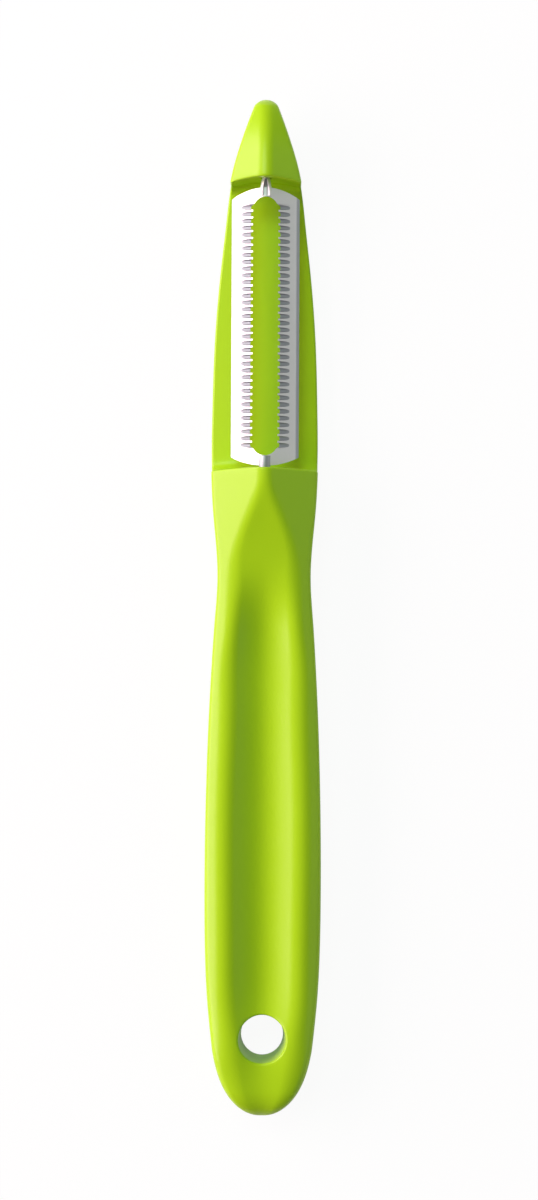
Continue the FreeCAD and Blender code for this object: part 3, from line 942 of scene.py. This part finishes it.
class Nodes:
    """A node tree that is filled one node at a time."""

    def __init__(self, tree):
        self.tree = tree
        tree.nodes.clear()

    def node(self, kind, settings, sockets, output=0):
        """Adds a node, sets its settings, then sets or links its sockets. Gives the output asked for."""
        node = self.tree.nodes.new("ShaderNode" + kind)
        for name, value in settings.items():
            setattr(node, name, value)
        for name, value in sockets.items():
            if isinstance(value, Socket):
                self.tree.links.new(value.socket, node.inputs[name])
            else:
                node.inputs[name].default_value = value
        return Socket(self, node.outputs[output]) if node.outputs else None

    def math(self, operation, first, second=0):
        return self.node("Math", {"operation": operation}, {0: first, 1: second})

    def blend(self, share, first, second):
        """A colour between two colours."""
        return self.node("Mix", {"data_type": "RGBA"}, {0: share, 6: first, 7: second}, 2)

    def noise(self, place, scale, detail, stretch=(1, 1, 1)):
        """A noise between 0 and 1, of this many waves to the metre, stretched along the axes."""
        if stretch != (1, 1, 1):
            place = self.node("VectorMath", {"operation": "MULTIPLY"}, {0: place, 1: stretch})
        return self.node("TexNoise", {}, {"Vector": place, "Scale": scale, "Detail": detail}, "Fac")

    def bump(self, strength, distance, height):
        return self.node("Bump", {}, {"Strength": strength, "Distance": distance, "Height": height}, "Normal")

    def surface(self, sockets):
        shader = self.node("BsdfPrincipled", {}, sockets, "BSDF")
        self.node("OutputMaterial", {}, {"Surface": shader})


def finish_named(name):
    """A new material, and its emptied node tree."""
    material = bpy.data.materials.new(name)
    material.use_nodes = True
    return material, Nodes(material.node_tree)


def moulded_plastic(settings):
    """Satin lime plastic: a faint flow pattern in the tone, a fine grain and small changes of gloss."""
    material, nodes = finish_named("moulded_lime_plastic")
    place = nodes.node("TexCoord", {}, {}, "Object")
    flow = nodes.noise(place, flow_scale, 3, flow_stretch)
    colour = nodes.blend(flow, (*settings.deep_colour, 1), (*settings.bright_colour, 1))
    gloss = settings.roughness - gloss_change / 2 + gloss_change * nodes.noise(place, gloss_scale, 4)
    grain = nodes.noise(place, grain_scale, 3)
    bump = nodes.bump(grain_strength, grain_height, grain)
    nodes.surface({"Base Color": colour, "Roughness": gloss, "Normal": bump,
                   "Specular IOR Level": plastic_specular})
    return material


def flute_shade_mask(nodes, x, y):
    """Where the painted shade of the ground flutes lies: 1 on the flutes along the slot and 0 elsewhere, from
    places on the blade in millimetres.
    """
    place = (y - y_slot_middle) * (1 / flute_pitch)
    part = (nodes.math("FRACT", place) - 0.5) * (flute_pitch / flute_half)
    square = part * part
    share = nodes.math("SQRT", nodes.math("MAXIMUM", 1 - square * square))
    near = nodes.math("MINIMUM", nodes.math("MAXIMUM", y, y_slot_rear + slot_half), y_slot_front - slot_half)
    away = nodes.math("SQRT", x * x + (y - near) * (y - near)) - slot_half
    sunk = nodes.node("Math", {"operation": "MULTIPLY", "use_clamp": True},
                      {0: share - away * (1 / flute_length), 1: flute_shade_rise})
    return sunk * nodes.math("LESS_THAN", nodes.math("ABSOLUTE", place), flute_count / 2)


def ground_steel(settings):
    """Stainless steel, finely ground along the blade, with painted shade that darkens the flutes, the flanges
    and the rear pin.
    """
    material, nodes = finish_named("ground_stainless_steel")
    place = nodes.node("TexCoord", {}, {}, "Object")
    lines = nodes.noise(place, 1, 4, grind_stretch)
    cloud = nodes.noise(place, cloud_scale, 3)
    colour = nodes.blend(cloud, (*settings.deep_colour, 1), (*settings.bright_colour, 1))
    x, y = (nodes.node("SeparateXYZ", {}, {0: place}, axis) * (1 / mm) for axis in "XY")
    # Painted shade: the ground flutes take a darker tone.
    colour = nodes.blend(flute_shade_mask(nodes, x, y), colour, (*settings.flute_shade_colour, 1))
    # Painted shade: the flanges take a darker tone across the bend, and so does the rear pin.
    out = nodes.math("ABSOLUTE", x)
    flange = nodes.node("MapRange", {}, {"Value": out, "From Min": bend_half - flange_shade_before,
                                         "From Max": bend_half + flange_shade_after})
    colour = nodes.blend(flange, colour, (*settings.flange_and_pin_shade_colour, 1))
    pin = nodes.math("LESS_THAN", out, pin_radius) * nodes.math("LESS_THAN", y, y_slot_rear - edge_land)
    colour = nodes.blend(pin, colour, (*settings.flange_and_pin_shade_colour, 1))
    shiniest = settings.roughness - (grind_change + cloud_change) / 2
    shine = shiniest + grind_change * lines + cloud_change * cloud
    bump = nodes.bump(grind_strength, grind_height, lines)
    nodes.surface({"Base Color": colour, "Metallic": 1.0, "Roughness": shine, "Normal": bump})
    return material


class HandleSettings(bpy.types.PropertyGroup):
    bright_colour: FloatVectorProperty(
        name="Bright tone", description="Lighter tone of the plastic", subtype="COLOR", size=3,
        min=0, max=1, default=(0.362, 0.630, 0.0075))
    deep_colour: FloatVectorProperty(
        name="Deep tone", description="Darker tone of the plastic", subtype="COLOR", size=3,
        min=0, max=1, default=(0.342, 0.600, 0.0065))
    roughness: FloatProperty(
        name="Roughness", description="How satin the plastic is", subtype="FACTOR",
        min=0, max=1, default=0.32)
    rim: FloatProperty(
        name="Window rim", description="Rounding of the window's edges", subtype="DISTANCE",
        unit="LENGTH", min=0.0001, default=0.35 * mm)
    hole_lip: FloatProperty(
        name="Hole lip", description="Rounding of the hanging hole's edges", subtype="DISTANCE",
        unit="LENGTH", min=0.0001, default=0.3 * mm)


class BladeSettings(bpy.types.PropertyGroup):
    bright_colour: FloatVectorProperty(
        name="Bright tone", description="Lighter tone of the steel", subtype="COLOR", size=3,
        min=0, max=1, default=(0.86, 0.87, 0.88))
    deep_colour: FloatVectorProperty(
        name="Deep tone", description="Darker tone of the steel", subtype="COLOR", size=3,
        min=0, max=1, default=(0.80, 0.81, 0.82))
    # Painted shade: a darker steel tone for the ground flutes.
    flute_shade_colour: FloatVectorProperty(
        name="Flute tone", description="Tone of the ground flutes", subtype="COLOR", size=3,
        min=0, max=1, default=(0.43, 0.45, 0.49))
    # Painted shade: a darker steel tone for the turned-down edges and the rear pin.
    flange_and_pin_shade_colour: FloatVectorProperty(
        name="Flange tone", description="Tone of the turned-down edges", subtype="COLOR", size=3,
        min=0, max=1, default=(0.40, 0.43, 0.46))
    roughness: FloatProperty(
        name="Roughness", description="How matt the steel is", subtype="FACTOR",
        min=0, max=1, default=0.55)


class StageSettings(bpy.types.PropertyGroup):
    floor_colour: FloatVectorProperty(
        name="Floor", description="Colour of the floor", subtype="COLOR", size=3, min=0, max=1,
        default=(0.94, 0.94, 0.94))
    key: FloatProperty(
        name="Key light", description="Power of the soft light at the left",
        unit="POWER", min=0, default=13.3)
    fill: FloatProperty(
        name="Fill light", description="Power of the weak light at the right",
        unit="POWER", min=0, default=1.12)
    top: FloatProperty(
        name="Top light", description="Power of the soft light beyond the nose",
        unit="POWER", min=0, default=1.8)
    sky: FloatProperty(
        name="Sky", description="Strength of the even light from all sides", min=0, default=0.12)
    camera_height: FloatProperty(
        name="Camera height", description="Height of the camera over the floor", subtype="DISTANCE",
        unit="LENGTH", min=0.1, default=0.476)


class PEELER_OT_handle(bpy.types.Operator):
    """Mould the handle: nose, bow, neck and grip with the window, the pins' bores and the hanging hole"""
    bl_idname = "peeler.handle"
    bl_label = "Handle"

    def execute(self, context):
        settings = context.scene.peeler_handle
        rim = settings.rim / mm
        nose = Face(y_nose, nose_width / 2, nose_face_hollow, 1, rim)
        neck = Face(y_neck, head_width / 2, neck_face_bulge, -1, rim)
        form = bmesh.new()
        skins(form, nose, neck, settings.hole_lip / mm)
        window(form, nose, neck)
        plastic = moulded_plastic(settings)
        finished(context, form, "moulded_handle", plastic, "handle", plastic_crease)
        return {"FINISHED"}


class PEELER_OT_blade(bpy.types.Operator):
    """Stamp the blade: a bent steel strip with a fluted slot and a rolled pin at each end"""
    bl_idname = "peeler.blade"
    bl_label = "Blade"

    def execute(self, context):
        form = bmesh.new()
        strip(form)
        rolled_pin(form, front_pin, 1)
        rolled_pin(form, rear_pin, -1)
        steel = ground_steel(context.scene.peeler_blade)
        finished(context, form, "stamped_blade", steel, "blade", steel_crease)
        return {"FINISHED"}


class PEELER_OT_stage(bpy.types.Operator):
    """Set up the pale floor, the soft lights and the camera over the peeler"""
    bl_idname = "peeler.stage"
    bl_label = "Stage"

    def execute(self, context):
        settings = context.scene.peeler_stage
        context.scene.view_settings.view_transform = "Standard"
        self.floor(context, settings)
        self.sky(context, settings)
        for name, form in lamps.items():
            self.lamp(context, name + "_light", getattr(settings, name), *form)
        camera = bpy.data.cameras.new("overhead_camera")
        camera.lens = camera_lens
        camera.sensor_width = camera_sensor
        eye = linked(context, "overhead_camera", camera)
        eye.location = (*camera_place, settings.camera_height)
        eye.rotation_euler = (0, 0, camera_turn)
        context.scene.camera = eye
        return {"FINISHED"}

    def floor(self, context, settings):
        material, nodes = finish_named("pale_floor")
        camera, glossy, through = (nodes.node("LightPath", {}, {}, f"Is {kind} Ray")
                                   for kind in ("Camera", "Glossy", "Transmission"))
        seen = camera + floor_glossy_share * glossy + through
        place = nodes.node("TexCoord", {}, {}, "Object")
        speckle = floor_tone + speckle_change * nodes.noise(place, speckle_scale, 2)
        tint = nodes.blend(speckle, floor_shade, (*settings.floor_colour, 1))
        matt = nodes.node("BsdfDiffuse", {}, {"Color": tint}, "BSDF")
        glow = nodes.node("Emission", {}, {"Color": (1, 1, 1, 1), "Strength": 1.0}, "Emission")
        shader = nodes.node("MixShader", {}, {0: floor_glow * seen, 1: matt, 2: glow}, "Shader")
        nodes.node("OutputMaterial", {}, {"Surface": shader})
        mesh = bpy.data.meshes.new("floor")
        signs = (-1, -1), (1, -1), (1, 1), (-1, 1)
        corners = [(x * floor_reach, y * floor_reach, 0) for x, y in signs]
        mesh.from_pydata(corners, [], [(0, 1, 2, 3)])
        mesh.materials.append(material)
        floor = linked(context, "floor", mesh)
        floor.location.z = cad_low.z - floor_gap

    def sky(self, context, settings):
        world = bpy.data.worlds.new("studio_sky")
        world.use_nodes = True
        nodes = Nodes(world.node_tree)
        seen = nodes.node("LightPath", {}, {}, "Is Camera Ray")
        strength = settings.sky + (1 - settings.sky) * seen
        light = nodes.node("Background", {}, {"Color": (1, 1, 1, 1), "Strength": strength}, "Background")
        nodes.node("OutputWorld", {}, {"Surface": light})
        context.scene.world = world

    def lamp(self, context, name, power, place, height, length, colour):
        light = bpy.data.lights.new(name, "AREA")
        light.energy = power
        light.color = colour
        light.shape = "RECTANGLE"
        light.size = length
        light.size_y = height
        lamp = linked(context, name, light)
        lamp.location = place
        lamp.rotation_euler = (-Vector(place)).to_track_quat("-Z", "Y").to_euler()
        lamp.visible_camera = False


class PEELER_PT_panel(bpy.types.Panel):
    """Lists the peeler's pieces and settings"""
    bl_idname = "PEELER_PT_panel"
    bl_label = "Peeler"
    bl_space_type = "VIEW_3D"
    bl_region_type = "UI"
    bl_category = "Peeler"

    def draw(self, context):
        for operator in (PEELER_OT_handle, PEELER_OT_blade, PEELER_OT_stage):
            box = self.layout.box()
            settings = getattr(context.scene, operator.bl_idname.replace(".", "_"))
            for field in settings.__annotations__:
                box.prop(settings, field)
            box.operator(operator.bl_idname)


classes = (HandleSettings, BladeSettings, StageSettings,
           PEELER_OT_handle, PEELER_OT_blade, PEELER_OT_stage, PEELER_PT_panel)


def register():
    for item in classes:
        bpy.utils.register_class(item)
    bpy.types.Scene.peeler_handle = PointerProperty(type=HandleSettings)
    bpy.types.Scene.peeler_blade = PointerProperty(type=BladeSettings)
    bpy.types.Scene.peeler_stage = PointerProperty(type=StageSettings)


def unregister():
    del bpy.types.Scene.peeler_handle
    del bpy.types.Scene.peeler_blade
    del bpy.types.Scene.peeler_stage
    for item in reversed(classes):
        bpy.utils.unregister_class(item)


def main():
    register()
    bpy.ops.peeler.stage()
    bpy.ops.peeler.handle()
    bpy.ops.peeler.blade()


if __name__ == "__main__":
    main()
